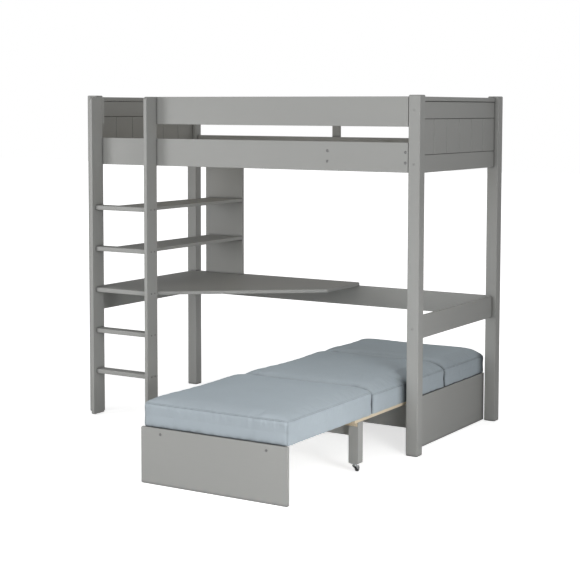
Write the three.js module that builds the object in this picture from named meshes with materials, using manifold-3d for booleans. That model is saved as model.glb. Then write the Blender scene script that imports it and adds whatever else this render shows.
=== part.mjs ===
// Loft bed with a ladder, a corner desk, two shelves and a pull-out chair bed under the bunk.
// Millimetres, +Z up. The origin is on the floor, under the middle of the whole footprint.
// The bed runs along X. Its ladder side faces -Y, and the chair bed pulls out that way.

import * as THREE from 'three';
import { mergeVertices } from 'three/addons/utils/BufferGeometryUtils.js';
import Module from 'manifold-3d';

const wasm = await Module();
wasm.setup();

// Overall size of the bed frame
const bedLength = 2090;
const bedWidth = 1020;
const postHeight = 1801;

// Clearances shared by every piece
const seatGap = 0.3;
const overrun = 5;
const boardEase = 1.5;

// Posts
const postLength = 66;
const postDepth = 59;
const postEase = 3;
const postTopChamfer = 4;

// Side rails and guard rails
const railThickness = 18;
const railHeight = 149;
const railGap = 78;
const guardDrop = 8;
const rearInset = 19;
const supportWidth = 54;
const supportThickness = 12;
const supportLap = 100;

// Ends, from the cap down
const endInset = 25;
const endThickness = 18;
const capHeight = 22;
const capOverhang = 4;
const upperBoardHeight = 90;
const panelHeight = 176;
const lowerBoardHeight = 91;
const panelFirstWidth = 149;
const panelPitch = 150;
const panelGroove = 4;
const panelJointEase = 4;
const tongueThickness = 6;
const tongueLength = 6;

// Cross rails between the legs
const crossRailHeight = 116;

// Slat ledgers and bed slats
const ledgerThickness = 25;
const ledgerHeight = 80;
const ledgerTopDrop = 56;
const bedSlatCount = 14;
const bedSlatWidth = 70;
const bedSlatThickness = 18;
const bedSlatEndMargin = 14;
const slatStrapWidth = 30;
const slatStrapThickness = 2;
const slatStrapInset = 240;

// Ladder
const stileThickness = 20;
const stileDepth = 92;
const stileFootClearance = 8;
const stileFootChamfer = 6;
const stileTopRadius = 20;
const ladderOffset = 22;
const rungLength = 358;
const rungDepth = 66;
const rungThickness = 25;
const rungEase = 4;
const rungCount = 5;
const rungFirstTop = 265;
const rungLastDrop = 228;

// Desk
const deskRungCount = 3;
const deskRungDrop = 2;
const deskThickness = 18;
const deskFrontLength = 374;
const deskEndWidth = 390;
const deskCornerRadius = 12;
const deskPadClearance = 4;

// Shelves and the board they meet
const shelfThickness = 18;
const shelfWidth = 250;
const shelfReach = 344;
const shelfTongueDepth = 58;
const shelfBoardWidth = 272;
const shelfCornerRadius = 6;

// Chair bed: fixed base
const chairWidth = 800;
const chairPostGap = 14;
const chairHeight = 265;
const chairFrontY = 60;
const chairRearInset = 30;
const chairPanel = 15;
const chairBackPanel = 18;
const chairPanelRadius = 5;
const chairRailThickness = 18;
const chairRailBottom = 105;
const chairRailSetback = 88;
const chairLedgeDepth = 22;
const chairLedgeHeight = 32;

// Chair bed: slats, which interleave like the teeth of combs
const slatCount = 17;
const slatWidth = 36;
const slatThickness = 18;
const slatSideClearance = 1.5;
const slatEndClearance = 2;
const frontSlatEndClearance = 6;
const slatJointDepth = 5;

// Chair bed: sliding mid frame
const midSlide = 533;
const midLegWidth = 54;
const midLegDepth = 48;
const midRailHeight = 74;
const midRailThickness = 18;
const midBattenDepth = 30;
const midBattenHeight = 20;
const midOuterSlatReach = 34;
const midInnerSlatReach = 13;

// Chair bed: sliding front frame
const frontSlide = 608;
const footboardWidth = 796;
const footboardThickness = 15;
const battenLength = 650;
const battenDepth = 36;
const battenHeight = 54;
const footboardBoltSpread = 576;
const footboardBoltDrop = 27;

// Casters under the mid frame
const casterHeight = 46;
const casterTrail = 23;
const casterOffset = 6;
const casterWheelRadius = 15;
const casterWheelWidth = 13;
const casterWheelChamfer = 2;
const casterAxleRadius = 2;
const casterBossRadius = 6;
const casterBoreClearance = 0.6;
const casterPlateWidth = 36;
const casterPlateLength = 34;
const casterPlateThickness = 2.5;
const casterForkThickness = 2;
const casterForkGap = 1.5;
const casterPinRadius = 4;
const casterPinHeadRadius = 6;
const casterPinHeadHeight = 1.6;
const casterHeadRadius = 11;
const casterBridgeHeight = 3;
const casterWheelClearance = 3;
const casterRunClearance = 0.5;

// Pads
const padWidth = 792;
const padShift = 4;
const padFrontInset = 4;
const padFrontLength = 779;
const padMiddleLength = 805;
const padRearOverhang = 10;
const padSeamGap = 1.2;
const padSeamHeight = 96;
const padBaseRadius = 6;
const padDraw = 4;
const padShoulderReach = 62;
const padShoulderRise = 36;
const padCrown = 13;
const padCornerRadius = 8;
const padCornerSpread_share = 1.2;
const padEndInset_share = 0.6;
const padShoulderPower_share = 1.8;
const padCrownSteps = 4;

// Fasteners
const fastenerSides = 12;
const boltHeadHeight = 2.5;
const holeClearance = 0.5;
const footBoltRadius = 3;
const footBoltHeadRadius = 6;
const ladderBoltRadius = 3;
const ladderBoltHeadRadius = 7;
const ladderBoltReach = 50;

// Colours, as the finish looks in even light
const paint = { color: 0xa5a6a2, roughness: 0.5, metalness: 0 };
const pine = { color: 0xe3cfa6, roughness: 0.65, metalness: 0 };
const padCloth = { color: 0xa5b2bc, roughness: 0.95, metalness: 0 };
const steel = { color: 0x8f9294, roughness: 0.35, metalness: 0.9 };
const zinc = { color: 0xb9bcbe, roughness: 0.4, metalness: 0.9 };
const wheelPlastic = { color: 0x2b2c2e, roughness: 0.55, metalness: 0 };

// A piece fitted between two fixed faces keeps the seat gap at both ends
const fitted = (from, to) => [from + seatGap, to - seatGap];
// Stacked neighbours share one seat gap
const stacked = (from, to) => [from + seatGap / 2, to - seatGap / 2];
const middle = ([from, to]) => (from + to) / 2;
const span = ([from, to]) => to - from;
const shifted = ([from, to], by) => [from + by, to + by];
const mirrored = ([from, to]) => [-to, -from];
const steps = (count) => Array.from({ length: count }, (_, index) => index);

// Places worked out from the sizes above
const postInner = bedLength / 2 - postLength;
const postEdge = bedLength / 2;
const guardTop = postHeight - guardDrop;
const guardZ = [guardTop - railHeight, guardTop];
const sideZ = [guardZ[0] - railGap - railHeight, guardZ[0] - railGap];
const frontRailY = [0, railThickness];
const rearRailOuter = bedWidth - rearInset;
const rearRailY = [rearRailOuter - railThickness, rearRailOuter];
const railX = fitted(-postInner, postInner);

const endX = [postEdge - endInset - endThickness, postEdge - endInset];
const endY = fitted(postDepth, bedWidth - postDepth);
const capZ = [guardTop - capHeight, guardTop];
const upperZ = [capZ[0] - upperBoardHeight, capZ[0]];
const panelZ = [upperZ[0] - panelHeight, upperZ[0]];
const lowerZ = [panelZ[0] - lowerBoardHeight, panelZ[0]];

const ledgerTop = sideZ[1] - ledgerTopDrop;
const ledgerZ = [ledgerTop - ledgerHeight, ledgerTop];
const ledgerFrontY = shifted([0, ledgerThickness], frontRailY[1] + seatGap);
const ledgerRearY = shifted([-ledgerThickness, 0], rearRailY[0] - seatGap);
const ledgerX = fitted(-postInner, postInner);

const leftStileX = shifted([0, stileThickness], -postInner + ladderOffset);
const rightStileX = shifted([0, stileThickness], leftStileX[1] + rungLength);
const stileY = [-stileDepth - seatGap, -seatGap];
const stileZ = [stileFootClearance, guardTop];
const rungX = fitted(leftStileX[1], rightStileX[0]);
const rungY = [-rungDepth - seatGap, -seatGap];
const rungPitch = (sideZ[0] - rungLastDrop - rungFirstTop) / (rungCount - 1);
const rungTops = steps(rungCount).map((index) => rungFirstTop + index * rungPitch);
const crossRailTop = rungTops[deskRungCount - 1] - rungThickness - deskRungDrop;
const crossZ = [crossRailTop - crossRailHeight, crossRailTop];

const chairCentre = postInner - chairPostGap - chairWidth / 2;
const padX = shifted([-padWidth / 2, padWidth / 2], padShift);
const deskRightEnd = chairCentre + padX[0] - deskPadClearance;
const deskZ = shifted([0, deskThickness], crossRailTop + seatGap);
const shelfBoardX = [-postInner + shelfReach - shelfBoardWidth, -postInner + shelfReach];
const shelfBoardY = [rearRailY[0] - seatGap - shelfThickness, rearRailY[0] - seatGap];
const shelfBoardZ = [deskZ[1] + seatGap, ledgerZ[0] - seatGap];
const shelfTops = rungTops.slice(-2).map((top) => top - rungThickness + shelfThickness);

const chairInner = chairWidth / 2 - chairPanel;
const chairRearY = bedWidth - chairRearInset;
const slatTravel = 2 * (chairInner - slatSideClearance) - slatWidth;
const slatPlaces = steps(slatCount).map((index) => slatTravel * (index / (slatCount - 1) - 1 / 2));
const slatZ = [chairHeight - slatThickness, chairHeight];
const chairBackY = [chairRearY - chairBackPanel, chairRearY];
const baseRailY = shifted([0, chairRailThickness], chairFrontY + chairRailSetback);
const ledgeY = shifted([-chairLedgeDepth, 0], chairBackY[0] - seatGap);
const midLegBack = baseRailY[0] - slatEndClearance - midSlide;
const midLegY = [midLegBack - midLegDepth, midLegBack];
const midRailY = [midLegBack - midRailThickness, midLegBack];
const midLegX = mirrored(shifted([0, midLegWidth], -chairInner + slatSideClearance));
const midSlatBack = chairBackY[0] - slatEndClearance - midSlide;
const footboardBack = chairFrontY - slatEndClearance - midSlide - frontSlide;
const footboardY = [footboardBack - footboardThickness, footboardBack];
const battenY = shifted([0, battenDepth], footboardBack + seatGap);
const battenZ = [chairHeight - battenHeight, chairHeight];
const frontSlatBack = chairBackY[0] - frontSlatEndClearance - midSlide - frontSlide;

const casterAxisX = middle(midLegX);
const casterAxisY = middle(midLegY) - casterOffset;

const padBottom = chairHeight + seatGap;
const padFrontY = shifted([0, padFrontLength], footboardY[0] + padFrontInset);
const padMiddleY = shifted([0, padMiddleLength], padFrontY[1]);
const padRearY = [padMiddleY[1], chairRearY + padRearOverhang];

// Geometry helpers

// Merged corners, with the flat triangles that close a lathe's poles left out
function weld(geometry) {
  geometry.deleteAttribute('normal');
  geometry.deleteAttribute('uv');
  const merged = mergeVertices(geometry);
  const kept = [];
  const index = merged.index.array;
  for (let i = 0; i < index.length; i += 3) {
    const [a, b, c] = [index[i], index[i + 1], index[i + 2]];
    if (a !== b && b !== c && c !== a) {
      kept.push(a, b, c);
    }
  }
  merged.setIndex(kept);
  return merged;
}

function toSolid(geometry) {
  const merged = weld(geometry);
  return new wasm.Manifold(new wasm.Mesh({
    numProp: 3,
    vertProperties: new Float32Array(merged.attributes.position.array),
    triVerts: new Uint32Array(merged.index.array),
  }));
}

function toGeometry(solid) {
  const mesh = solid.getMesh();
  const geometry = new THREE.BufferGeometry();
  geometry.setAttribute('position', new THREE.BufferAttribute(mesh.vertProperties, 3));
  geometry.setIndex(new THREE.BufferAttribute(mesh.triVerts, 1));
  return geometry;
}

// Turns a shape built along +Z so that it runs along the named axis
function turnTo(geometry, axis) {
  if (axis === 'x') {
    geometry.rotateY(Math.PI / 2);
  }
  if (axis === 'y') {
    geometry.rotateX(-Math.PI / 2);
  }
  return geometry;
}

function outline(points) {
  return new THREE.Shape(points.map(([x, y]) => new THREE.Vector2(x, y)));
}

function roundedCorners(width, height, radius, arcSteps) {
  const right = width / 2 - radius;
  const top = height / 2 - radius;
  const corners = [[right, top], [-right, top], [-right, -top], [right, -top]];
  return corners.flatMap(([x, y], quarter) => steps(arcSteps + 1).map((step) => {
    const angle = (quarter + step / arcSteps) * (Math.PI / 2);
    return [x + radius * Math.cos(angle), y + radius * Math.sin(angle)];
  }));
}

function roundedRectangle(width, height, radius, arcSteps) {
  return outline(roundedCorners(width, height, radius, arcSteps));
}

// A board with eased edges along its length. x, y and z are ranges.
function board(x, y, z, grain, ease = boardEase, arcSteps = 1) {
  const sizes = { x: span(x), y: span(y), z: span(z) };
  const width = grain === 'x' ? sizes.z : sizes.x;
  const height = grain === 'y' ? sizes.z : sizes.y;
  const section = roundedRectangle(width, height, ease, arcSteps);
  const depth = sizes[grain];
  const geometry = new THREE.ExtrudeGeometry(section, { depth, bevelEnabled: false });
  geometry.translate(0, 0, -depth / 2);
  turnTo(geometry, grain);
  geometry.translate(middle(x), middle(y), middle(z));
  return weld(geometry);
}

function plate(points, z) {
  const geometry = new THREE.ExtrudeGeometry(outline(points), { depth: span(z), bevelEnabled: false });
  geometry.translate(0, 0, z[0]);
  return weld(geometry);
}

function box(x, y, z) {
  const geometry = new THREE.BoxGeometry(span(x), span(y), span(z));
  geometry.translate(middle(x), middle(y), middle(z));
  return weld(geometry);
}

// A plain round bar between two places on an axis. The other two coordinates are its centre.
function roundBar(axis, centre, along, radius, sides) {
  const geometry = new THREE.CylinderGeometry(radius, radius, span(along), sides);
  geometry.rotateX(Math.PI / 2);
  turnTo(geometry, axis);
  const place = { ...centre, [axis]: middle(along) };
  geometry.translate(place.x, place.y, place.z);
  return weld(geometry);
}

// A domed bolt. Its head sits on a face at the centre point, and its shank runs the other way.
function bolt(axis, direction, centre, { radius, reach, headRadius, headHeight }) {
  const domeShare = 0.45;
  const crownShare = 0.6;
  const profile = [
    [0, -reach],
    [radius, -reach],
    [radius, seatGap],
    [headRadius, seatGap],
    [headRadius, seatGap + headHeight * domeShare],
    [headRadius * crownShare, seatGap + headHeight],
    [0, seatGap + headHeight],
  ].map(([x, y]) => new THREE.Vector2(x, y));
  const geometry = new THREE.LatheGeometry(profile, fastenerSides);
  geometry.rotateX(direction > 0 ? Math.PI / 2 : -Math.PI / 2);
  turnTo(geometry, axis);
  geometry.translate(centre.x, centre.y, centre.z);
  return weld(geometry);
}

function joined(geometries) {
  return toGeometry(geometries.map(toSolid).reduce((whole, piece) => whole.add(piece)));
}

// The clearance hole for a bolt whose head sits at the centre point
function boltHole(axis, direction, centre, { radius, reach }) {
  const face = centre[axis];
  const tip = face - direction * (reach + holeClearance);
  const mouth = face + direction * overrun;
  const along = [Math.min(tip, mouth), Math.max(tip, mouth)];
  return roundBar(axis, centre, along, radius + holeClearance, fastenerSides);
}

function drilled(geometry, axis, direction, centres, sizes) {
  const drill = centres.map((centre) => toSolid(boltHole(axis, direction, centre, sizes)));
  return toGeometry(drill.reduce((left, hole) => left.subtract(hole), toSolid(geometry)));
}

// The scene: every piece is a named mesh in the group that carries it
function add(parent, name, geometry, finish) {
  const material = new THREE.MeshStandardMaterial({ ...finish, flatShading: true });
  const mesh = new THREE.Mesh(geometry, material);
  mesh.name = name;
  parent.add(mesh);
  return mesh;
}

const ends = [-1, 1];
const loftBed = new THREE.Group();
loftBed.position.y = -(footboardY[0] - seatGap - boltHeadHeight + bedWidth) / 2;

// Posts

function post(end, y) {
  const chamfer = postTopChamfer;
  const x = end < 0 ? [-postEdge, -postInner] : [postInner, postEdge];
  const section = roundedRectangle(postLength - 2 * chamfer, postDepth - 2 * chamfer, postEase, 2);
  const geometry = new THREE.ExtrudeGeometry(section, {
    depth: postHeight - 2 * chamfer,
    bevelSize: chamfer,
    bevelThickness: chamfer,
    bevelSegments: 1,
  });
  geometry.translate(middle(x), middle(y), chamfer);
  return geometry;
}

const frontPostY = [0, postDepth];
const rearPostY = [bedWidth - postDepth, bedWidth];
add(loftBed, 'post_front_left', post(-1, frontPostY), paint);
add(loftBed, 'post_front_right', post(1, frontPostY), paint);
add(loftBed, 'post_rear_left', post(-1, rearPostY), paint);
add(loftBed, 'post_rear_right', post(1, rearPostY), paint);

// Rails along the bed

const guardFrontX = [rightStileX[0], postInner - seatGap];
const guardStubX = [-postInner + seatGap, leftStileX[1]];
const guardSupportZ = [sideZ[1] - supportLap, guardZ[0] + supportLap];
const guardSupportY = shifted([0, supportThickness], rearRailOuter + seatGap);
const supportX = [-supportWidth / 2, supportWidth / 2];
const ladderBolts = [leftStileX, rightStileX].map((x) => (
  { x: middle(x), y: frontRailY[1], z: middle(guardZ) }
));
const ladderBoltSizes = {
  radius: ladderBoltRadius,
  reach: railThickness + ladderBoltReach,
  headRadius: ladderBoltHeadRadius,
  headHeight: boltHeadHeight,
};
const ladderDrilled = (geometry) => drilled(geometry, 'y', 1, ladderBolts, ladderBoltSizes);
add(loftBed, 'side_rail_front', board(railX, frontRailY, sideZ, 'x'), paint);
add(loftBed, 'side_rail_rear', board(railX, rearRailY, sideZ, 'x'), paint);
add(loftBed, 'guard_rail_front', ladderDrilled(board(guardFrontX, frontRailY, guardZ, 'x')), paint);
add(loftBed, 'guard_rail_stub', ladderDrilled(board(guardStubX, frontRailY, guardZ, 'x')), paint);
add(loftBed, 'guard_rail_rear', board(railX, rearRailY, guardZ, 'x'), paint);
add(loftBed, 'guard_support_rear', board(supportX, guardSupportY, guardSupportZ, 'z'), paint);

// Ends: a cap, two boards with a groove each, and a panel of upright boards between them

function panelEdges() {
  const [from, to] = endY;
  const first = from + panelFirstWidth - seatGap;
  const count = Math.round((to - first) / panelPitch);
  return [from, ...steps(count).map((index) => first + index * panelPitch), to];
}

// The boards of one end, joined edge to edge, with a tongue along the top and the bottom
function panel(x) {
  const [left, right] = x;
  const edges = panelEdges();
  const joints = edges.slice(1, -1);
  const notch = (face, inward) => joints.flatMap((y) => [
    [face, y - panelGroove],
    [face + inward * panelGroove, y],
    [face, y + panelGroove],
  ]);
  const from = edges[0];
  const to = edges[edges.length - 1];
  const points = [
    [left, to],
    ...notch(left, 1).reverse(),
    [left, from],
    [right, from],
    ...notch(right, -1),
    [right, to],
  ];
  const tongueX = [middle(x) - tongueThickness / 2, middle(x) + tongueThickness / 2];
  const tongueZ = [panelZ[0] - tongueLength, panelZ[1] + tongueLength];
  return joined([plate(points, stacked(...panelZ)), box(tongueX, [from, to], tongueZ)]);
}

function groovedBoard(x, z, grooveEdge) {
  const slot = tongueThickness / 2 + seatGap;
  const depth = tongueLength + seatGap;
  const slotX = [middle(x) - slot, middle(x) + slot];
  const slotY = [endY[0] - overrun, endY[1] + overrun];
  const slotZ = grooveEdge === 'top' ? [z[1] - depth, z[1] + overrun] : [z[0] - overrun, z[0] + depth];
  const body = toSolid(board(x, endY, stacked(...z), 'y', panelJointEase));
  return toGeometry(body.subtract(toSolid(box(slotX, slotY, slotZ))));
}

for (const [side, x] of [['left', mirrored(endX)], ['right', endX]]) {
  const capX = [x[0] - capOverhang, x[1] + capOverhang];
  add(loftBed, `end_cap_${side}`, board(capX, endY, stacked(...capZ), 'y', postEase, 2), paint);
  add(loftBed, `end_board_upper_${side}`, groovedBoard(x, upperZ, 'bottom'), paint);
  add(loftBed, `end_panel_${side}`, panel(x), paint);
  add(loftBed, `end_board_lower_${side}`, groovedBoard(x, lowerZ, 'top'), paint);
  add(loftBed, `cross_rail_${side}`, board(x, endY, crossZ, 'y'), paint);
}
add(loftBed, 'cross_rail_rear', board(railX, rearRailY, crossZ, 'x'), paint);

// Slat ledgers and the roll of bed slats on them, held together by two straps

function bedSlats() {
  const room = 2 * (postInner - bedSlatEndMargin) - bedSlatWidth;
  const y = fitted(frontRailY[1], rearRailY[0]);
  const z = shifted([0, bedSlatThickness], ledgerTop + seatGap);
  const slats = steps(bedSlatCount).map((index) => {
    const centre = room * (index / (bedSlatCount - 1) - 1 / 2);
    return board([centre - bedSlatWidth / 2, centre + bedSlatWidth / 2], y, z, 'y');
  });
  const strapX = [-room / 2, room / 2];
  const strapZ = [z[0] - slatStrapThickness, z[0] + slatStrapThickness];
  const straps = [y[0] + slatStrapInset, y[1] - slatStrapInset].map((centre) => (
    box(strapX, [centre - slatStrapWidth / 2, centre + slatStrapWidth / 2], strapZ)
  ));
  return joined([...slats, ...straps]);
}

add(loftBed, 'slat_ledger_front', board(ledgerX, ledgerFrontY, ledgerZ, 'x'), pine);
add(loftBed, 'slat_ledger_rear', board(ledgerX, ledgerRearY, ledgerZ, 'x'), pine);
add(loftBed, 'bed_slats', bedSlats(), pine);

// Ladder

function stile(x) {
  const arcSteps = 4;
  const chamfer = stileFootChamfer;
  const radius = stileTopRadius;
  const [front, back] = stileY;
  const [foot, top] = stileZ;
  const arc = steps(arcSteps + 1).map((step) => {
    const angle = (step / arcSteps) * (Math.PI / 2);
    return [front + radius - radius * Math.sin(angle), top - radius + radius * Math.cos(angle)];
  });
  const points = [
    [front + chamfer, foot],
    [back - chamfer, foot],
    [back, foot + chamfer],
    [back, top],
    ...arc,
    [front, foot + chamfer],
  ];
  const depth = span(x);
  const geometry = new THREE.ExtrudeGeometry(outline(points), { depth, bevelEnabled: false });
  geometry.rotateX(Math.PI / 2);
  geometry.rotateZ(Math.PI / 2);
  geometry.translate(x[0], 0, 0);
  return geometry;
}

add(loftBed, 'ladder_stile_left', ladderDrilled(stile(leftStileX)), paint);
add(loftBed, 'ladder_stile_right', ladderDrilled(stile(rightStileX)), paint);
rungTops.forEach((top, index) => {
  const rung = board(rungX, rungY, [top - rungThickness, top], 'x', rungEase, 2);
  add(loftBed, `ladder_rung_${index + 1}`, rung, paint);
});
ladderBolts.forEach((centre, index) => {
  const name = `ladder_bolt_${index === 0 ? 'left' : 'right'}`;
  add(loftBed, name, bolt('y', 1, centre, ladderBoltSizes), steel);
});

// Desk: a corner top, cut back on a slant and notched round the two left posts

function deskTop() {
  const edge = -endX[1];
  const post = -postInner + seatGap;
  const frontPost = postDepth + seatGap;
  const rearPost = bedWidth - postDepth - seatGap;
  const back = rearRailOuter;
  const slantStart = -postInner + deskFrontLength;
  const slantEnd = back - deskEndWidth;
  return plate([
    [edge, frontPost],
    [post, frontPost],
    [post, 0],
    [slantStart, 0],
    [deskRightEnd, slantEnd],
    [deskRightEnd, back - deskCornerRadius],
    [deskRightEnd - deskCornerRadius, back],
    [post, back],
    [post, rearPost],
    [edge, rearPost],
  ], deskZ);
}

function shelf(top) {
  const left = -postInner + seatGap;
  const right = -postInner + shelfReach;
  const boardLeft = right - shelfWidth;
  const back = shelfBoardY[0] - seatGap;
  const corner = shelfCornerRadius;
  return plate([
    [left, 0],
    [right - corner, 0],
    [right, corner],
    [right, back],
    [boardLeft, back],
    [boardLeft, shelfTongueDepth],
    [left, shelfTongueDepth],
  ], [top - shelfThickness, top]);
}

add(loftBed, 'desk_top', deskTop(), paint);
add(loftBed, 'shelf_lower', shelf(shelfTops[0]), paint);
add(loftBed, 'shelf_upper', shelf(shelfTops[1]), paint);
add(loftBed, 'shelf_back_board', board(shelfBoardX, shelfBoardY, shelfBoardZ, 'z'), paint);

// Chair bed, with its own centre line

const chair = new THREE.Group();
chair.position.x = chairCentre;
loftBed.add(chair);

function sidePanel(x) {
  const arcSteps = 3;
  const radius = chairPanelRadius;
  const corner = (y, z, start) => steps(arcSteps + 1).map((step) => {
    const angle = start + (step / arcSteps) * (Math.PI / 2);
    return [y + radius * Math.cos(angle), z + radius * Math.sin(angle)];
  });
  const points = [
    [chairFrontY, 0],
    [chairRearY, 0],
    ...corner(chairRearY - radius, chairHeight - radius, 0),
    ...corner(chairFrontY + radius, chairHeight - radius, Math.PI / 2),
  ];
  const geometry = new THREE.ExtrudeGeometry(outline(points), { depth: span(x), bevelEnabled: false });
  geometry.rotateX(Math.PI / 2);
  geometry.rotateZ(Math.PI / 2);
  geometry.translate(x[0], 0, 0);
  return weld(geometry);
}

function slatRow(places, rangeOf) {
  return places.map((place) => {
    const centre = slatPlaces[place];
    return board([centre - slatWidth / 2, centre + slatWidth / 2], rangeOf(place), slatZ, 'y');
  });
}

// A row of slats, each let down into the rail that runs just below it
function comb(rowPlaces, rangeOf, railX, railY, railZ) {
  const half = slatWidth / 2 - slatJointDepth;
  const blockZ = [railZ[1] - slatJointDepth, slatZ[0] + slatJointDepth];
  const blocks = rowPlaces.map((place) => {
    const centre = slatPlaces[place];
    return box([centre - half, centre + half], railY, blockZ);
  });
  return joined([...slatRow(rowPlaces, rangeOf), box(railX, railY, railZ), ...blocks]);
}

const places = steps(slatCount);
const insideX = fitted(-chairInner, chairInner);
const sideX = [chairInner, chairWidth / 2];
const baseRailZ = [chairRailBottom, slatZ[0] - seatGap];
const ledgeZ = [slatZ[0] - seatGap - chairLedgeHeight, slatZ[0] - seatGap];
add(chair, 'chair_side_left', sidePanel(mirrored(sideX)), paint);
add(chair, 'chair_side_right', sidePanel(sideX), paint);
add(chair, 'chair_back_panel', board(insideX, chairBackY, [0, chairHeight], 'x'), paint);
add(chair, 'chair_front_rail', board(insideX, baseRailY, baseRailZ, 'x'), paint);
const baseSlatY = [baseRailY[0], chairBackY[0] - seatGap];
const basePlaces = places.filter((place) => place % 2 === 1);
add(chair, 'chair_base_slats', comb(basePlaces, () => baseSlatY, insideX, ledgeY, ledgeZ), pine);

// Sliding mid frame: every fourth slat from the edges, on a rail between two legs

const midSlatPlaces = places.filter((place) => place % 4 === 0);
const midLegZ = [casterHeight, slatZ[0] - seatGap];
const midRailZ = [slatZ[0] - seatGap - midRailHeight, slatZ[0] - seatGap];
const midRailX = fitted(-midLegX[0], midLegX[0]);
const midBattenEnd = slatTravel / 2 + slatWidth / 2 - slatJointDepth;
const midBattenX = [-midBattenEnd, midBattenEnd];
const midBattenY = shifted([-midBattenDepth, 0], midRailY[0] - seatGap);
const midBattenZ = [slatZ[0] - seatGap - midBattenHeight, slatZ[0] - seatGap];

function midSlatRange(place) {
  const isOuter = place === 0 || place === slatCount - 1;
  const front = midLegY[0] - midOuterSlatReach;
  return [isOuter ? front : midLegY[0] + midInnerSlatReach, midSlatBack];
}

// A leg with a notch in its inner side for the end of the batten
function midLeg(x) {
  const notchX = [midBattenX[0] - seatGap, midBattenX[1] + seatGap];
  const notchY = [midBattenY[0] - seatGap, midBattenY[1] + seatGap];
  const notchZ = [midBattenZ[0] - seatGap, midLegZ[1] + overrun];
  const notch = toSolid(box(notchX, notchY, notchZ));
  return toGeometry(toSolid(board(x, midLegY, midLegZ, 'z')).subtract(notch));
}

add(chair, 'mid_leg_left', midLeg(mirrored(midLegX)), paint);
add(chair, 'mid_leg_right', midLeg(midLegX), paint);
add(chair, 'mid_cross_rail', board(midRailX, midRailY, midRailZ, 'x'), paint);
const midComb = comb(midSlatPlaces, midSlatRange, midBattenX, midBattenY, midBattenZ);
add(chair, 'mid_slats', midComb, pine);

// Sliding front frame: the footboard and, on its batten, the slats between those of the mid frame

function footboard() {
  const geometry = new THREE.ExtrudeGeometry(
    roundedRectangle(footboardWidth, chairHeight, chairPanelRadius, 3),
    { depth: footboardThickness, bevelEnabled: false },
  );
  geometry.rotateX(Math.PI / 2);
  geometry.translate(0, footboardY[1], chairHeight / 2);
  return geometry;
}

const battenX = [-battenLength / 2, battenLength / 2];
const frontSlatY = [battenY[1] - slatJointDepth, frontSlatBack];
const frontSlats = slatRow(places.filter((place) => place % 4 === 2), () => frontSlatY);
const footBoltSizes = {
  radius: footBoltRadius,
  reach: footboardThickness + battenDepth / 2,
  headRadius: footBoltHeadRadius,
  headHeight: boltHeadHeight,
};
const footBolts = ends.map((end) => (
  { x: end * footboardBoltSpread / 2, y: footboardY[0], z: chairHeight - footboardBoltDrop }
));
const footDrilled = (geometry) => drilled(geometry, 'y', -1, footBolts, footBoltSizes);
const frontComb = joined([...frontSlats, board(battenX, battenY, battenZ, 'x')]);
add(chair, 'footboard', footDrilled(footboard()), paint);
add(chair, 'front_slats', footDrilled(frontComb), pine);
add(chair, 'footboard_bolt_left', bolt('y', -1, footBolts[0], footBoltSizes), steel);
add(chair, 'footboard_bolt_right', bolt('y', -1, footBolts[1], footBoltSizes), steel);

// Casters: a plate with a king pin, a fork that swivels on it, and a wheel on the fork's axle

const plateZ = [casterHeight - seatGap - casterPlateThickness, casterHeight - seatGap];
const bridgeBottom = 2 * casterWheelRadius + casterWheelClearance;
const bridgeTop = bridgeBottom + casterBridgeHeight;
const headTop = plateZ[0] - casterRunClearance;
const pinHeadTop = bridgeBottom - casterRunClearance;
const forkInner = casterWheelWidth / 2 + casterForkGap;
const forkOuter = forkInner + casterForkThickness;
const origin = { x: 0, y: 0, z: 0 };

function casterPlate() {
  const half = { x: casterPlateWidth / 2, y: casterPlateLength / 2 };
  const body = toSolid(board([-half.x, half.x], [-half.y, half.y], plateZ, 'z', postEase));
  const pin = roundBar('z', origin, [pinHeadTop - casterPinHeadHeight, plateZ[1] - casterRunClearance],
    casterPinRadius, fastenerSides);
  const head = roundBar('z', origin, [pinHeadTop - casterPinHeadHeight, pinHeadTop],
    casterPinHeadRadius, fastenerSides);
  return toGeometry(body.add(toSolid(pin)).add(toSolid(head)));
}

// Side view of a fork arm in the Y-Z plane, from the bridge down to the axle
function forkArm(x) {
  const arcSteps = 6;
  const arc = steps(arcSteps + 1).map((step) => {
    const angle = -Math.PI * (3 / 4) + (step / arcSteps) * Math.PI;
    const y = casterTrail + casterBossRadius * Math.cos(angle);
    return [y, casterWheelRadius + casterBossRadius * Math.sin(angle)];
  });
  const points = [[-casterHeadRadius, bridgeTop], [-casterHeadRadius, bridgeBottom], ...arc,
    [casterHeadRadius, bridgeTop]];
  const geometry = new THREE.ExtrudeGeometry(outline(points), { depth: span(x), bevelEnabled: false });
  geometry.rotateX(Math.PI / 2);
  geometry.rotateZ(Math.PI / 2);
  geometry.translate(x[0], 0, 0);
  return toSolid(geometry);
}

function casterFork() {
  const bridgeX = [-forkOuter, forkOuter];
  const bridgeY = [-casterHeadRadius, casterHeadRadius];
  const bridge = toSolid(box(bridgeX, bridgeY, [bridgeBottom, bridgeTop]));
  const head = roundBar('z', origin, [bridgeBottom, headTop], casterHeadRadius, fastenerSides);
  const axle = roundBar('x', { y: casterTrail, z: casterWheelRadius }, [-forkOuter, forkOuter],
    casterAxleRadius, fastenerSides);
  const bore = roundBar('z', origin, [bridgeBottom - overrun, headTop + overrun],
    casterPinRadius + casterBoreClearance, fastenerSides);
  const arms = forkArm([forkInner, forkOuter]).add(forkArm([-forkOuter, -forkInner]));
  return toGeometry(bridge.add(toSolid(head)).subtract(toSolid(bore)).add(arms).add(toSolid(axle)));
}

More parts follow.
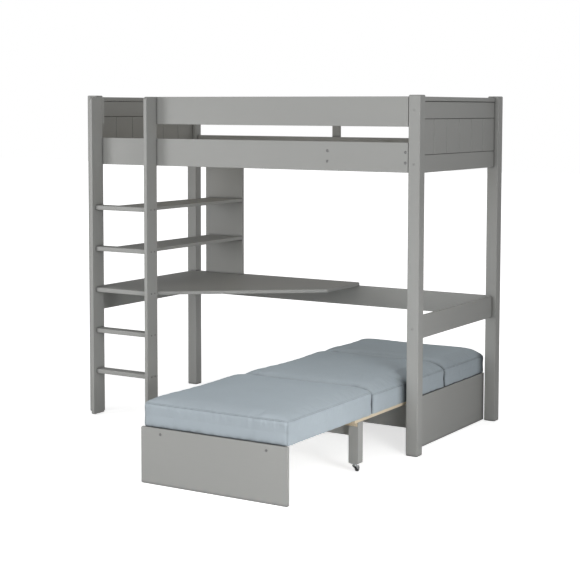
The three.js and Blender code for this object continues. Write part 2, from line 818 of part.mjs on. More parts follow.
function casterWheel() {
  const wheelSides = 24;
  const half = casterWheelWidth / 2;
  const chamfer = casterWheelChamfer;
  const bore = casterAxleRadius + casterBoreClearance;
  const profile = [
    [bore, -half],
    [casterWheelRadius - chamfer, -half],
    [casterWheelRadius, -half + chamfer],
    [casterWheelRadius, half - chamfer],
    [casterWheelRadius - chamfer, half],
    [bore, half],
    [bore, -half],
  ].map(([x, y]) => new THREE.Vector2(x, y));
  const geometry = new THREE.LatheGeometry(profile, wheelSides);
  geometry.rotateX(Math.PI / 2);
  return weld(turnTo(geometry, 'x'));
}

for (const [side, way] of [['left', -1], ['right', 1]]) {
  const caster = new THREE.Group();
  caster.position.set(way * casterAxisX, casterAxisY, 0);
  chair.add(caster);
  add(caster, `caster_plate_${side}`, casterPlate(), zinc);
  add(caster, `caster_fork_${side}`, casterFork(), zinc);
  const wheel = add(caster, `caster_wheel_${side}`, casterWheel(), wheelPlastic);
  wheel.position.set(0, casterTrail, casterWheelRadius);
}

// Pads: a flat base, sides drawn in at half height, and a sloping shoulder from the sewn edge
// up to a crowned top. Each is a stack of outlines, from the base to the crown.

function padOutlines(length) {
  const cornerSteps = 4;
  const baseSteps = 2;
  const shoulderSteps = 4;
  const ring = (inset, z, share = 1) => {
    const isShoulder = z > padSeamHeight;
    const spread = isShoulder ? padCornerSpread_share * inset : 0;
    const endInset = isShoulder ? padEndInset_share * inset : inset;
    const size = [padWidth - 2 * inset, length - 2 * endInset];
    return roundedCorners(...size, padCornerRadius + spread, cornerSteps)
      .map(([x, y]) => [x * share, y * share, z]);
  };
  const base = steps(baseSteps + 1).map((step) => {
    const angle = (step / baseSteps) * (Math.PI / 2);
    return ring(padBaseRadius * (1 - Math.sin(angle)), padBaseRadius * (1 - Math.cos(angle)));
  });
  const shoulder = steps(shoulderSteps + 1).map((step) => {
    const share = step / shoulderSteps;
    const rise = 1 - (1 - share) ** padShoulderPower_share;
    return ring(padShoulderReach * share, padSeamHeight + padShoulderRise * rise);
  });
  const shoulderTop = padSeamHeight + padShoulderRise;
  const crown = steps(padCrownSteps - 1).map((step) => {
    const share = 1 - (step + 1) / padCrownSteps;
    return ring(padShoulderReach, shoulderTop + padCrown * (1 - share * share), share);
  });
  const waist = ring(padDraw, (padBaseRadius + padSeamHeight) / 2);
  return [...base, waist, ...shoulder, ...crown];
}

function pad(length) {
  const rings = padOutlines(length);
  const count = rings[0].length;
  const peak = padSeamHeight + padShoulderRise + padCrown;
  const points = [[0, 0, 0], ...rings.flat(), [0, 0, peak]];
  const last = points.length - 1;
  const lastRing = rings.length - 1;
  const at = (level, step) => 1 + level * count + (step % count);
  const caps = steps(count).flatMap((step) => [
    0, at(0, step + 1), at(0, step),
    last, at(lastRing, step), at(lastRing, step + 1),
  ]);
  const sides = steps(lastRing).flatMap((level) => steps(count).flatMap((step) => [
    at(level, step), at(level, step + 1), at(level + 1, step + 1),
    at(level, step), at(level + 1, step + 1), at(level + 1, step),
  ]));
  const geometry = new THREE.BufferGeometry();
  geometry.setAttribute('position', new THREE.Float32BufferAttribute(points.flat(), 3));
  geometry.setIndex([...caps, ...sides]);
  return geometry;
}

const pads = [['pad_front', padFrontY], ['pad_middle', padMiddleY], ['pad_rear', padRearY]];
for (const [name, y] of pads) {
  const mesh = add(chair, name, pad(span(y) - padSeamGap), padCloth);
  mesh.position.set(middle(padX), middle(y), padBottom);
}

export default loftBed;
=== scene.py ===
# Loft bed with a desk, shelves and a pull-out chair bed: finishes, pads, fastenings and stage.

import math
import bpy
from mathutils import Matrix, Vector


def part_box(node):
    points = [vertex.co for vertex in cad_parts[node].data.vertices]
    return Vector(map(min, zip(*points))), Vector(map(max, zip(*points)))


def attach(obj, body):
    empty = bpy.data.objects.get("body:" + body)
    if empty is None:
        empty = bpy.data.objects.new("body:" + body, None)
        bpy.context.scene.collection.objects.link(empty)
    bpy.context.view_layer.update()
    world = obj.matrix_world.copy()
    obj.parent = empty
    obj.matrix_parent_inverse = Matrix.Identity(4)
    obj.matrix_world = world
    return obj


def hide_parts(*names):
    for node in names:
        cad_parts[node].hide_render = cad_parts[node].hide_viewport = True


bl_info = {
    "name": "Loft Bed with Chair Bed",
    "version": (1, 0, 0),
    "blender": (4, 5, 0),
    "location": "View3D > Sidebar > Loft Bed",
    "description": "Finishes, soft pads, fastener heads and studio stage for a painted loft bed",
    "category": "Object",
}

import bmesh
import bpy
import numpy as np
from bpy.props import FloatProperty, FloatVectorProperty, IntProperty, PointerProperty
from mathutils import Matrix, Vector

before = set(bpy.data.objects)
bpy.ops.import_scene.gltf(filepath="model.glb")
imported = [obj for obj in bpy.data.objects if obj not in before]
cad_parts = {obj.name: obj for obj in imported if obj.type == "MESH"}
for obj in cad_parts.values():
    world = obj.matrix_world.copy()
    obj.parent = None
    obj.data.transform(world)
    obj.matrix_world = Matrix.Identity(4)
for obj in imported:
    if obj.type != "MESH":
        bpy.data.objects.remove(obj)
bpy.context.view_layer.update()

MM = 0.001

# The CAD nodes by finish
PADS = ("pad_front", "pad_middle", "pad_rear")
PINE_NODES = (
    "slat_ledger_front",
    "slat_ledger_rear",
    "bed_slats",
    "chair_base_slats",
    "mid_slats",
    "front_slats",
)
BOLT_NODES = (
    "ladder_bolt_left",
    "ladder_bolt_right",
    "footboard_bolt_left",
    "footboard_bolt_right",
)
CASTER_METAL = (
    "caster_plate_left",
    "caster_plate_right",
    "caster_fork_left",
    "caster_fork_right",
)
CASTER_WHEELS = ("caster_wheel_left", "caster_wheel_right")
RUNGS = tuple(sorted(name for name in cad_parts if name.startswith("ladder_rung_")))
BARE = PADS + PINE_NODES + BOLT_NODES + CASTER_METAL + CASTER_WHEELS
PAINTED = tuple(sorted(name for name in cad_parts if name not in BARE))


def box_of(node):
    """The lowest and highest corner of a CAD node, as vectors in metres."""
    low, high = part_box(node)
    return Vector(low), Vector(high)


def centre_of(node):
    """The middle of a CAD node's box."""
    low, high = box_of(node)
    return (low + high) / 2


def outer_face(node, way):
    """The front of a CAD node where way is -1, or its back where way is 1, as a place on Y."""
    low, high = box_of(node)
    return low.y if way < 0 else high.y


# Sizes and colours that a user would change


class FinishSettings(bpy.types.PropertyGroup):
    """Colours and grain of the paint, pine, cloth, metal and wheels."""

    paint_colour: FloatVectorProperty(
        name="Paint",
        description="Grey satin paint on the timber",
        subtype="COLOR",
        default=(0.376, 0.379, 0.366),
        min=0,
        max=1,
    )
    pine_colour: FloatVectorProperty(
        name="Pine",
        description="Bare pine between the growth rings",
        subtype="COLOR",
        default=(0.76, 0.67, 0.50),
        min=0,
        max=1,
    )
    pine_ring_colour: FloatVectorProperty(
        name="Pine rings",
        description="Darker growth rings in the pine",
        subtype="COLOR",
        default=(0.64, 0.51, 0.33),
        min=0,
        max=1,
    )
    cloth_colour: FloatVectorProperty(
        name="Pad cloth",
        description="Blue-grey cloth of the pads",
        subtype="COLOR",
        default=(0.43, 0.487, 0.528),
        min=0,
        max=1,
    )
    steel_colour: FloatVectorProperty(
        name="Steel",
        description="Plated bolt and screw heads",
        subtype="COLOR",
        default=(0.25, 0.25, 0.25),
        min=0,
        max=1,
    )
    zinc_colour: FloatVectorProperty(
        name="Zinc",
        description="Zinc plate of the casters",
        subtype="COLOR",
        default=(0.6, 0.61, 0.62),
        min=0,
        max=1,
    )
    wheel_colour: FloatVectorProperty(
        name="Wheel",
        description="Moulded wheels of the casters",
        subtype="COLOR",
        default=(0.035, 0.036, 0.038),
        min=0,
        max=1,
    )
    edge_ease: FloatProperty(
        name="Edge ease",
        description="Sanded round on every board edge",
        subtype="DISTANCE",
        unit="LENGTH",
        default=1.0 * MM,
        min=0,
        max=4 * MM,
    )
    weave_pitch: FloatProperty(
        name="Weave pitch",
        description="Distance from thread to thread in the pad cloth",
        subtype="DISTANCE",
        unit="LENGTH",
        default=1.3 * MM,
        min=0.4 * MM,
        max=5 * MM,
    )


class PadSettings(bpy.types.PropertyGroup):
    """Cut, swelling and seams of the three pads."""

    seam_height: FloatProperty(
        name="Seam height",
        description="From the base to the sewn edge of the middle and rear pads",
        subtype="DISTANCE",
        unit="LENGTH",
        default=96 * MM,
        min=40 * MM,
        max=130 * MM,
    )
    shoulder: FloatProperty(
        name="Shoulder",
        description="How far the rounded shoulder reaches in from the sewn edge",
        subtype="DISTANCE",
        unit="LENGTH",
        default=62 * MM,
        min=10 * MM,
        max=90 * MM,
    )
    shoulder_rise: FloatProperty(
        name="Shoulder rise",
        description="How far the shoulder rises above the sewn edge",
        subtype="DISTANCE",
        unit="LENGTH",
        default=36 * MM,
        min=5 * MM,
        max=60 * MM,
    )
    corner_radius: FloatProperty(
        name="Corner radius",
        description="Round of the upright corners",
        subtype="DISTANCE",
        unit="LENGTH",
        default=6 * MM,
        min=4 * MM,
        max=60 * MM,
    )
    base_radius: FloatProperty(
        name="Base radius",
        description="Round along the bottom edges",
        subtype="DISTANCE",
        unit="LENGTH",
        default=5 * MM,
        min=2 * MM,
        max=30 * MM,
    )
    room: FloatProperty(
        name="Room to swell",
        description="The cut is this much smaller than the finished pad",
        subtype="DISTANCE",
        unit="LENGTH",
        default=2.5 * MM,
        min=0,
        max=12 * MM,
    )
    pressure: FloatProperty(
        name="Pressure",
        description="Pressure of the filling in the cloth simulation",
        default=2.0,
        min=0,
        max=20,
    )
    fullness: FloatProperty(
        name="Fullness",
        description="Spare cloth between the seams, as a share of its length",
        subtype="FACTOR",
        default=0.012,
        min=0,
        max=0.1,
    )
    travel_cap: FloatProperty(
        name="Travel cap",
        description="Furthest that the simulation may move a point",
        subtype="DISTANCE",
        unit="LENGTH",
        default=6 * MM,
        min=1 * MM,
        max=30 * MM,
    )
    half_count: IntProperty(
        name="Cloth mesh",
        description="Faces of the simulated mesh from the middle of a pad to its edge",
        default=26,
        min=12,
        max=48,
    )
    frames: IntProperty(
        name="Frames",
        description="Frames of cloth simulation",
        default=20,
        min=2,
        max=60,
    )
    seam_radius: FloatProperty(
        name="Seam radius",
        description="Radius of the thread that shows along the seams",
        subtype="DISTANCE",
        unit="LENGTH",
        default=2.2 * MM,
        min=0.4 * MM,
        max=6 * MM,
    )
    seam_pinch: FloatProperty(
        name="Seam pinch",
        description="How deep a seam is drawn into the pad",
        subtype="DISTANCE",
        unit="LENGTH",
        default=3.5 * MM,
        min=0,
        max=8 * MM,
    )


class FastenerSettings(bpy.types.PropertyGroup):
    """Sizes and places of the heads that show."""

    post_head: FloatProperty(
        name="Post bolt head",
        description="Radius of the bolt heads on the posts",
        subtype="DISTANCE",
        unit="LENGTH",
        default=6.5 * MM,
        min=2 * MM,
        max=20 * MM,
    )
    rail_head: FloatProperty(
        name="Rail bolt head",
        description="Radius of the bolt heads on the side rails",
        subtype="DISTANCE",
        unit="LENGTH",
        default=7 * MM,
        min=2 * MM,
        max=20 * MM,
    )
    screw_head: FloatProperty(
        name="Ladder screw head",
        description="Radius of the screw heads on the ladder stiles",
        subtype="DISTANCE",
        unit="LENGTH",
        default=4.5 * MM,
        min=1 * MM,
        max=10 * MM,
    )
    head_height: FloatProperty(
        name="Head height",
        description="How far a bolt head stands off its face",
        subtype="DISTANCE",
        unit="LENGTH",
        default=2.4 * MM,
        min=0.5 * MM,
        max=8 * MM,
    )
    rail_pair_spacing: FloatProperty(
        name="Rail bolt spacing",
        description="Height between the two bolts of a pair on a side rail",
        subtype="DISTANCE",
        unit="LENGTH",
        default=53 * MM,
        min=20 * MM,
        max=120 * MM,
    )
    rail_end_inset: FloatProperty(
        name="Rail bolt end inset",
        description="From a post's inner face to the first pair",
        subtype="DISTANCE",
        unit="LENGTH",
        default=14 * MM,
        min=4 * MM,
        max=60 * MM,
    )
    rail_mid_inset: FloatProperty(
        name="Rail bolt middle inset",
        description="From a post's inner face to the second pair",
        subtype="DISTANCE",
        unit="LENGTH",
        default=459 * MM,
        min=100 * MM,
        max=900 * MM,
    )
    screw_inset: FloatProperty(
        name="Ladder screw inset",
        description="From a rung's front edge to its first screw",
        subtype="DISTANCE",
        unit="LENGTH",
        default=11 * MM,
        min=4 * MM,
        max=30 * MM,
    )
    screw_spacing: FloatProperty(
        name="Ladder screw spacing",
        description="Between the two screws at a rung's end",
        subtype="DISTANCE",
        unit="LENGTH",
        default=31 * MM,
        min=10 * MM,
        max=60 * MM,
    )


class StageSettings(bpy.types.PropertyGroup):
    """Floor, light and camera."""

    floor_colour: FloatVectorProperty(
        name="Floor",
        description="Pale studio floor",
        subtype="COLOR",
        default=(0.86, 0.86, 0.86),
        min=0,
        max=1,
    )
    world_light: FloatProperty(
        name="World light",
        description="Strength of the even light from all round",
        default=0.29,
        min=0,
        max=4,
    )
    key_power: FloatProperty(
        name="Key light",
        description="Power of the soft light in front, at the left",
        subtype="POWER",
        unit="POWER",
        default=35,
        min=0,
        max=5000,
    )
    side_power: FloatProperty(
        name="Side light",
        description="Power of the soft light in front, at the right",
        subtype="POWER",
        unit="POWER",
        default=34,
        min=0,
        max=3000,
    )
    front_power: FloatProperty(
        name="Front fill",
        description="Power of the soft fill straight in front",
        subtype="POWER",
        unit="POWER",
        default=34,
        min=0,
        max=3000,
    )
    pad_power: FloatProperty(
        name="Pad light",
        description="Power of the narrow light on the sides of the pads",
        subtype="POWER",
        unit="POWER",
        default=2.3,
        min=0,
        max=200,
    )
    top_power: FloatProperty(
        name="Top light",
        description="Power of the soft light above the front of the chair bed",
        subtype="POWER",
        unit="POWER",
        default=4,
        min=0,
        max=500,
    )
    rear_power: FloatProperty(
        name="Rear light",
        description="Power of the soft light behind",
        subtype="POWER",
        unit="POWER",
        default=25,
        min=0,
        max=500,
    )
    lens: FloatProperty(
        name="Lens",
        description="Focal length on a 36 mm sensor",
        subtype="DISTANCE_CAMERA",
        unit="CAMERA",
        default=88.57,
        min=20,
        max=300,
    )


# Shader maths: a wire is a socket's output, so that masks read as plain expressions

# The share of open surroundings from which a face counts as fully open and gets no painted shade
OPEN_LEVEL = 0.95
OPENNESS_SAMPLES = 8


class Wire:
    """An output socket with arithmetic."""

    def __init__(self, graph, socket):
        self.graph = graph
        self.socket = socket

    def __add__(self, other):
        return self.graph.maths("ADD", self, other)

    def __radd__(self, other):
        return self.graph.maths("ADD", other, self)

    def __sub__(self, other):
        return self.graph.maths("SUBTRACT", self, other)

    def __rsub__(self, other):
        return self.graph.maths("SUBTRACT", other, self)

    def __mul__(self, other):
        return self.graph.maths("MULTIPLY", self, other)

    def __rmul__(self, other):
        return self.graph.maths("MULTIPLY", other, self)

    def clamped(self):
        """The value held between nought and one."""
        raised = self.graph.maths("MAXIMUM", self, 0.0)
        return self.graph.maths("MINIMUM", raised, 1.0)


class Graph:
    """The node tree of a material or world, built from its inputs to its output."""

    def __init__(self, owner, output_kind="ShaderNodeOutputMaterial"):
        self.owner = owner
        owner.use_nodes = True
        self.tree = owner.node_tree
        self.tree.nodes.clear()
        self.out = self.tree.nodes.new(output_kind)

    def node(self, kind, settings=None, inputs=None, output=0):
        """Any node: its type, its settings, and the values or links of its sockets."""
        made = self.tree.nodes.new(kind)
        for key, value in (settings or {}).items():
            setattr(made, key, value)
        for key, value in (inputs or {}).items():
            if isinstance(value, Wire):
                self.tree.links.new(value.socket, made.inputs[key])
            else:
                made.inputs[key].default_value = value
        return Wire(self, made.outputs[output])

    def maths(self, operation, *values):
        inputs = dict(enumerate(values))
        return self.node("ShaderNodeMath", {"operation": operation}, inputs)

    def position(self):
        """The object's own coordinates, in metres. Every object sits at the frame's origin."""
        return self.node("ShaderNodeTexCoord", output="Object")

    def scaled(self, vector, scale):
        return self.node(
            "ShaderNodeVectorMath", {"operation": "MULTIPLY"}, {0: vector, 1: scale}
        )

    def noise(self, vector, scale, detail=3.0, roughness=0.5):
        return self.node(
            "ShaderNodeTexNoise",
            None,
            {"Vector": vector, "Scale": scale, "Detail": detail, "Roughness": roughness},
        )

    def wave(self, vector, scale, axis, distortion=0.0, detail_scale=1.0):
        return self.node(
            "ShaderNodeTexWave",
            {"wave_type": "BANDS", "bands_direction": axis, "wave_profile": "SIN"},
            {
                "Vector": vector,
                "Scale": scale,
                "Distortion": distortion,
                "Detail": 2.0,
                "Detail Scale": detail_scale,
            },
            output="Fac",
        )

    def blend(self, factor, first, second):
        return self.node(
            "ShaderNodeMix", {"data_type": "RGBA"}, {0: factor, 6: first, 7: second}, output=2
        )

    def bump(self, height, strength, distance, normal=None):
        inputs = {"Strength": strength, "Distance": distance, "Height": height}
        if normal is not None:
            inputs["Normal"] = normal
        return self.node("ShaderNodeBump", None, inputs)

    def unshaded_share(self, reach, gain):
        """One on an open face, falling towards nought in a joint or where two pieces meet: the
        mask of the painted shade.
        """
        open_share = self.node(
            "ShaderNodeAmbientOcclusion",
            {"samples": OPENNESS_SAMPLES},
            {"Distance": reach},
            "AO",
        )
        return (open_share * gain - (gain * OPEN_LEVEL - 1.0)).clamped()

    def finish(self, shader):
        """Link the shader to the output, and give back the material or world."""
        self.tree.links.new(shader.socket, self.out.inputs["Surface"])
        return self.owner

    def surface(self, inputs):
        return self.finish(self.node("ShaderNodeBsdfPrincipled", None, inputs))


def material_graph(name):
    return Graph(bpy.data.materials.new(name))


def rgba(colour, share=1.0):
    """A colour with its alpha, made darker or lighter by a share."""
    return (*[channel * share for channel in colour], 1.0)


# Grain, rings and knots are squeezed across the board and drawn out along it
GRAIN_SCALE = {"X": (1.2, 22.0, 22.0), "Y": (22.0, 1.2, 22.0), "Z": (22.0, 22.0, 1.2)}
RING_SCALE = {"X": (0.35, 3.2, 3.2), "Y": (3.2, 0.35, 3.2)}
KNOT_SCALE = {"X": (1, 2, 2), "Y": (2, 1, 2)}
ACROSS = {"X": "Y", "Y": "X"}
KNOT_DENSITY = 2.6
KNOT_EDGE = 14.0

# Painted shade: how near another face darkens the paint or the cloth, and how strongly
JOINT_SHADE_REACH = 16 * MM
JOINT_SHADE_GAIN = 1.5
CREASE_SHADE_REACH = 75 * MM
CREASE_SHADE_GAIN = 2.4

# How far above and below the sewn edge the cloth puckers
PUCKER_REACH = 40 * MM
PUCKER_SCALE = (34.0, 34.0, 7.0)
SLUB_SCALE = (40.0, 900.0, 900.0)
SCRATCH_SCALE = (90.0, 90.0, 900.0)


def paint_material(name, axis, colour):
    """Satin paint on timber: brushed along the grain, with a faint cloud and orange peel, and
    painted shade that darkens it in joints and where pieces meet.
    """
    graph = material_graph(name)
    place = graph.position()
    board = graph.scaled(place, GRAIN_SCALE[axis])
    cloud = graph.noise(place, scale=3.0)
    grain = graph.noise(board, scale=9.0, detail=5.0, roughness=0.65)
    peel = graph.noise(place, scale=420.0, detail=2.0)
    brush = graph.noise(board, scale=40.0, roughness=0.6)
    tone = cloud * 0.55 + grain * 0.45
    coat = graph.blend(tone, rgba(colour, 0.94), rgba(colour, 1.06))
    # Painted shade: the paint darkens to 0.3 of its colour in joints, grooves and where another
    # piece is near
    colours = graph.blend(graph.unshaded_share(JOINT_SHADE_REACH, JOINT_SHADE_GAIN), rgba(colour, 0.3), coat)
    rough = 0.4 + grain * 0.12 + peel * 0.06
    under = graph.bump(grain, strength=0.22, distance=0.6 * MM)
    brushed = graph.bump(brush, strength=0.16, distance=0.3 * MM, normal=under)
    normal = graph.bump(peel, strength=0.1, distance=0.2 * MM, normal=brushed)
    return graph.surface({"Base Color": colours, "Roughness": rough, "Normal": normal})


def pine_material(axis, light, ring_colour):
    """Planed pine: growth rings drawn out along the board, fine pores and a few knots."""
    graph = material_graph(f"planed_pine_{axis.lower()}")
    place = graph.position()
    board = graph.scaled(place, GRAIN_SCALE[axis])
    drawn = graph.scaled(place, RING_SCALE[axis])
    rings = graph.wave(drawn, scale=9.0, axis=ACROSS[axis], distortion=5.5, detail_scale=1.3)
    fibres = graph.noise(board, scale=26.0, detail=4.0, roughness=0.6)
    board_tone = graph.noise(board, scale=1.0, detail=1.0)
    knots = graph.node(
        "ShaderNodeTexVoronoi",
        {"feature": "F1", "distance": "EUCLIDEAN"},
        {"Vector": graph.scaled(place, KNOT_SCALE[axis]), "Scale": KNOT_DENSITY},
        output="Distance",
    )
    knot = (1.0 - knots * KNOT_EDGE).clamped()
    ring_mask = (rings * 0.5 + fibres * 0.25 + board_tone * 0.3 - 0.2).clamped()
    wood = graph.blend(ring_mask, rgba(light), rgba(ring_colour))
    colours = graph.blend(knot, wood, rgba(ring_colour, 0.5))
    rough = 0.5 + fibres * 0.2
    normal = graph.bump(rings * 0.4 + fibres * 0.6, strength=0.25, distance=0.6 * MM)
    return graph.surface({"Base Color": colours, "Roughness": rough, "Normal": normal})


def cloth_material(colour, pitch, seam_level):
    """Plain-woven blue-grey cloth, heathered, with the threads standing as fine bumps, and
    painted shade that darkens it in creases and where a pad meets other pieces.
    """
    graph = material_graph("pad_cloth")
    place = graph.position()
    turns = 1.0 / pitch / math.pi
    across, along, upright = [graph.wave(place, turns, axis) for axis in "XYZ"]
    threads = across + along + upright
    heather = graph.noise(place, scale=520.0, detail=2.0, roughness=0.7)
    slub = graph.noise(graph.scaled(place, SLUB_SCALE), scale=1.0, detail=2.0)
    cloud = graph.noise(place, scale=5.0)
    tone = (heather * 0.5 + slub * 0.3 + cloud * 0.35 - 0.08).clamped()
    cloth = graph.blend(tone, rgba(colour, 0.84), rgba(colour, 1.14))
    # Painted shade: the cloth darkens to 0.2 of its colour in the creases between pads and where
    # a pad meets the timber
    colours = graph.blend(graph.unshaded_share(CREASE_SHADE_REACH, CREASE_SHADE_GAIN), rgba(colour, 0.2), cloth)
    rough = 0.82 + heather * 0.14
    rumple = graph.noise(place, scale=9.0)
    height = graph.node("ShaderNodeSeparateXYZ", None, {"Vector": place}, "Z")
    offset = graph.maths("ABSOLUTE", height - seam_level)
    near = (1.0 - offset * (1.0 / PUCKER_REACH)).clamped()
    puckers = graph.noise(graph.scaled(place, PUCKER_SCALE), scale=1.0, detail=2.0)
    folds = rumple * 0.7 + puckers * near * 2.2
    soft = graph.bump(folds, strength=0.6, distance=9 * MM)
    weave = threads * 0.33 + heather * 0.4
    normal = graph.bump(weave, strength=0.35, distance=0.6 * MM, normal=soft)
    return graph.surface(
        {
            "Base Color": colours,
            "Roughness": rough,
            "Normal": normal,
            "Sheen Weight": 0.2,
            "Sheen Roughness": 0.45,
            "Sheen Tint": (0.75, 0.9, 1.0, 1.0),
            "Specular IOR Level": 0.25,
        }
    )


def metal_material(name, colour, smoothest, roughest):
    """Plated metal with fine scratches and a faint stain."""
    graph = material_graph(name)
    place = graph.position()
    scratches = graph.noise(graph.scaled(place, SCRATCH_SCALE), scale=1.0)
    stain = graph.noise(place, scale=160.0)
    colours = graph.blend(stain, rgba(colour, 0.82), rgba(colour, 1.1))
    rough = smoothest + scratches * (roughest - smoothest)
    normal = graph.bump(scratches, strength=0.15, distance=0.2 * MM)
    return graph.surface(
        {"Base Color": colours, "Roughness": rough, "Metallic": 1.0, "Normal": normal}
    )


def wheel_material(colour):
    """Moulded dark wheel with a fine matt grain and dust on the tread."""
    graph = material_graph("moulded_wheel")
    place = graph.position()
    grain = graph.noise(place, scale=900.0, detail=2.0)
    dust = graph.noise(place, scale=130.0, detail=4.0)
    colours = graph.blend(dust * 0.5, rgba(colour), rgba(colour, 2.4))
    rough = 0.42 + dust * 0.25
    normal = graph.bump(grain, strength=0.3, distance=0.3 * MM)
    return graph.surface({"Base Color": colours, "Roughness": rough, "Normal": normal})


# Mesh helpers


WELD_REACH = 0.02 * MM
SANDED_ANGLE = math.radians(40)
BOLT_EDGE = 0.4 * MM
CASTER_EDGE = 0.3 * MM
WHEEL_EDGE = 0.8 * MM
CRISP_ANGLE = math.radians(35)


def put_in_scene(name, data):
    """A new object that holds a mesh, lamp or camera."""
    made = bpy.data.objects.new(name, data)
    bpy.context.scene.collection.objects.link(made)
    return made


def shade_smooth(mesh):
    mesh.polygons.foreach_set("use_smooth", [True] * len(mesh.polygons))


def refinish(node, material, edge_width, segments=2):
    """A better material and sanded edges, as modifiers, on a CAD node whose mesh stays."""
    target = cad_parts[node]
    target.data.materials.clear()
    target.data.materials.append(material)
    weld = target.modifiers.new("One surface", "WELD")
    weld.merge_threshold = WELD_REACH
    bevel = target.modifiers.new("Sanded edges", "BEVEL")
    bevel.width = edge_width
    bevel.segments = segments
    bevel.limit_method = "ANGLE"
    bevel.angle_limit = SANDED_ANGLE
    bevel.harden_normals = False
    shade = target.modifiers.new("Even shading", "WEIGHTED_NORMAL")
    shade.keep_sharp = False
    shade_smooth(target.data)


def long_axis(node):
    """The axis along which a CAD node is longest."""
    low, high = box_of(node)
    size = high - low
    return "XYZ"[max(range(3), key=lambda index: size[index])]


# Fastener heads, built about +Z and then turned to face out of the board


# Share of the radius and share of the height, from the face outwards
HEAD_PROFILE = ((1.0, 0.0), (1.0, 0.25), (0.93, 0.55), (0.76, 0.85), (0.58, 1.0))
HEAD_SIDES = 24
SOCKET_SHARE = 0.42
SOCKET_DEPTH_SHARE = 0.7
HEXAGON_HALF = math.pi / 6

# Flat heads stand off their face by a share of a full head's height
POST_HEAD_HEIGHT_SHARE = 0.65
SCREW_HEAD_HEIGHT_SHARE = 0.5
RIVET_RADIUS = 3.6 * MM
RIVET_HEIGHT = 1.4 * MM


def ring(bm, sides, radius, height):
    """Points round a circle about Z."""
    corners = []
    for step in range(sides):
        angle = 2 * math.pi * step / sides
        corners.append(bm.verts.new((radius * math.cos(angle), radius * math.sin(angle), height)))
    return corners


def skin(bm, lower, upper):
    """Faces between two closed rows of points."""
    count = len(lower)
    for step in range(count):
        after = (step + 1) % count
        bm.faces.new((lower[step], lower[after], upper[after], upper[step]))


def add_head(bm, place, outward, radius, height):
    """A domed button head with a hexagon socket."""
    start = len(bm.verts)
    rings = [ring(bm, HEAD_SIDES, radius * wide, height * tall) for wide, tall in HEAD_PROFILE]
    for lower, upper in zip(rings, rings[1:]):
        skin(bm, lower, upper)
    bm.faces.new(list(reversed(rings[0])))
    mouth = []
    floor = []
    for step in range(HEAD_SIDES):
        angle = 2 * math.pi * step / HEAD_SIDES
        turn = (angle % (2 * HEXAGON_HALF)) - HEXAGON_HALF
        reach = radius * SOCKET_SHARE * math.cos(HEXAGON_HALF) / math.cos(turn)
        x, y = reach * math.cos(angle), reach * math.sin(angle)
        mouth.append(bm.verts.new((x, y, height)))
        floor.append(bm.verts.new((x, y, height * (1 - SOCKET_DEPTH_SHARE))))
    skin(bm, rings[-1], mouth)
    skin(bm, mouth, floor)
    bm.faces.new(floor)
    bm.verts.ensure_lookup_table()
    turn = Vector((0, 0, 1)).rotation_difference(Vector(outward)).to_matrix().to_4x4()
    move = Matrix.Translation(Vector(place)) @ turn
    bmesh.ops.transform(bm, matrix=move, verts=bm.verts[start:])


def heads_piece(name, places, radius, height, material, body):
    """One piece that holds every head in a group. places lists a point and its outward way."""
    bm = bmesh.new()
    for place, outward in places:
        add_head(bm, place, outward, radius, height)
    bmesh.ops.recalc_face_normals(bm, faces=bm.faces)
    mesh = bpy.data.meshes.new(name)
    bm.to_mesh(mesh)
    bm.free()
    shade_smooth(mesh)
    mesh.materials.append(material)
    piece = put_in_scene(name, mesh)
    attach(piece, body)
    edges = piece.modifiers.new("Crisp edges", "EDGE_SPLIT")
    edges.split_angle = CRISP_ANGLE


# Pads: a grid that runs round the pad like the skin of a box. A point is named by its place
# (i, j) on the square grid of a cap, or on the square ring round the edge and a row below it.

PAD_BODIES = {"pad_front": "front_pad", "pad_middle": "middle_pad", "pad_rear": "rear_pad"}
# Corners that meet no other pad, counted from the front left one
OPEN_CORNERS = {"pad_front": (0, 1), "pad_middle": (), "pad_rear": (2, 3)}
# The front pad is cut squarer, so its sewn edge stands higher below the same crown
SEAM_LIFT = {"pad_front": 16 * MM, "pad_middle": 0.0, "pad_rear": 0.0}
# The shoulder reaches in less at a pad's front and back than at its sides
END_SHARE = 0.6
# The shoulder's corner is rounder the further it lies in from the sewn edge
CORNER_SPREAD = 1.2
SHOULDER_POWER = 1.8
SIDE_WAIST = 2 * MM
SHOULDER_ROWS = 5
SIDE_ROWS = 7
BASE_ROWS = 2
THREAD_SIDES = 6
# A way that no seam runs along, from which a thread's cross section is set
THREAD_REFERENCE = Vector((0.3, 0.2, 1))


def square_ring(level):
    """The places round one square ring of a cap, anticlockwise from its lower left corner."""
    if level == 0:
        return [(0, 0)]
    low = [(step, -level) for step in range(-level, level)]
    right = [(level, step) for step in range(-level, level)]
    high = [(-step, level) for step in range(-level, level)]
    left = [(-level, -step) for step in range(-level, level)]
    return low + right + high + left


def rounded_place(x, y, half_x, half_y, radius):
    """A place on a rectangle's edge, drawn in where the corner is rounded."""
    core = Vector((half_x - radius, half_y - radius))
    near = Vector((max(-core.x, min(core.x, x)), max(-core.y, min(core.y, y))))
    out = Vector((x, y)) - near
    if out.length > radius:
        out = out * (radius / out.length)
    return near + out


